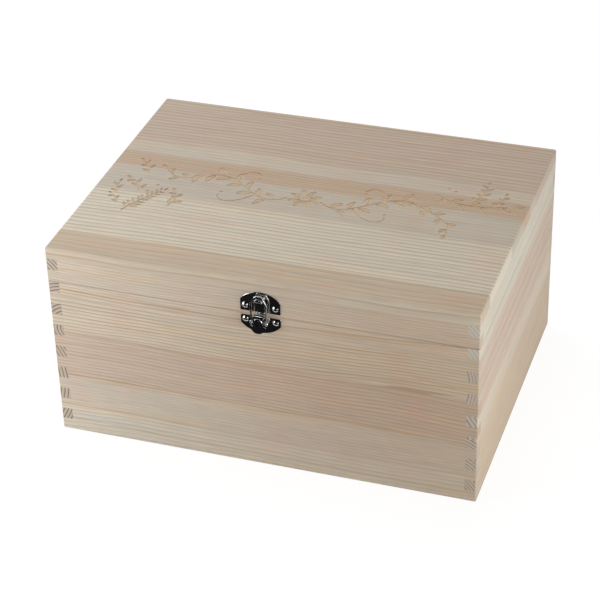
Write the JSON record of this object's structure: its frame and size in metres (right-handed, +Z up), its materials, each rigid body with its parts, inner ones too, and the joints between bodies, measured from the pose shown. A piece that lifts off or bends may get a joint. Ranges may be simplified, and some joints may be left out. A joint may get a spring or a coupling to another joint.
{
  "type": "keepsake box",
  "caption": "Rectangular finger-jointed pine box with a hinged lid, back hinges and a small toggle clasp at the front, for papers and keepsakes.",
  "frame": {"origin": "middle of the underside, where the box stands", "axes": "+X to the right along the front, the front with the clasp faces -Y, +Z up"},
  "size_m": [0.3, 0.2361, 0.15],
  "materials": {
    "pine": "sanded bare pine, edge-glued staves, lid with burnt ornament",
    "plywood": "sanded plywood",
    "nickel": "bright nickel plate on pressed steel",
    "hinge_nickel": "nickel plate on pressed steel"
  },
  "bodies": {
    "box": {"front_wall": "pine", "back_wall": "pine", "left_wall": "pine", "right_wall": "pine", "bottom_panel": "plywood", "clasp_base_plate": "nickel", "clasp_base_screws": "nickel", "lever_pin": "nickel", "left_hinge_box_leaf": "hinge_nickel", "right_hinge_box_leaf": "hinge_nickel", "left_hinge_pin": "hinge_nickel", "right_hinge_pin": "hinge_nickel", "hinge_box_screws": "hinge_nickel"},
    "lid": {"lid_panel": "pine", "lid_front_rail": "pine", "lid_back_rail": "pine", "lid_left_rail": "pine", "lid_right_rail": "pine", "catch_plate": "nickel", "catch_plate_screws": "nickel", "left_hinge_lid_leaf": "hinge_nickel", "right_hinge_lid_leaf": "hinge_nickel", "hinge_lid_screws": "hinge_nickel"},
    "lever": {"clasp_lever": "nickel", "bail_pin": "nickel"},
    "bail": {"clasp_bail": "nickel"}
  },
  "joints": [
    {"name": "lid_hinge", "type": "hinge", "parent": "box", "child": "lid", "pos_m": [0, 0.11445, 0.12337], "axis": [-1, 0, 0], "range_deg": [0, 180]},
    {"name": "lever_pivot", "type": "hinge", "parent": "box", "child": "lever", "pos_m": [0.0024, -0.1167, 0.12318], "axis": [-1, 0, 0], "range_deg": [0, 90]},
    {"name": "bail_pivot", "type": "hinge", "parent": "lever", "child": "bail", "pos_m": [0.0024, -0.1167, 0.11958], "axis": [-1, 0, 0], "range_deg": [-77, 0]}
  ],
  "couplings": [
    {"joint": "bail_pivot", "follows": "lever_pivot", "ratio": -0.848}
  ]
}
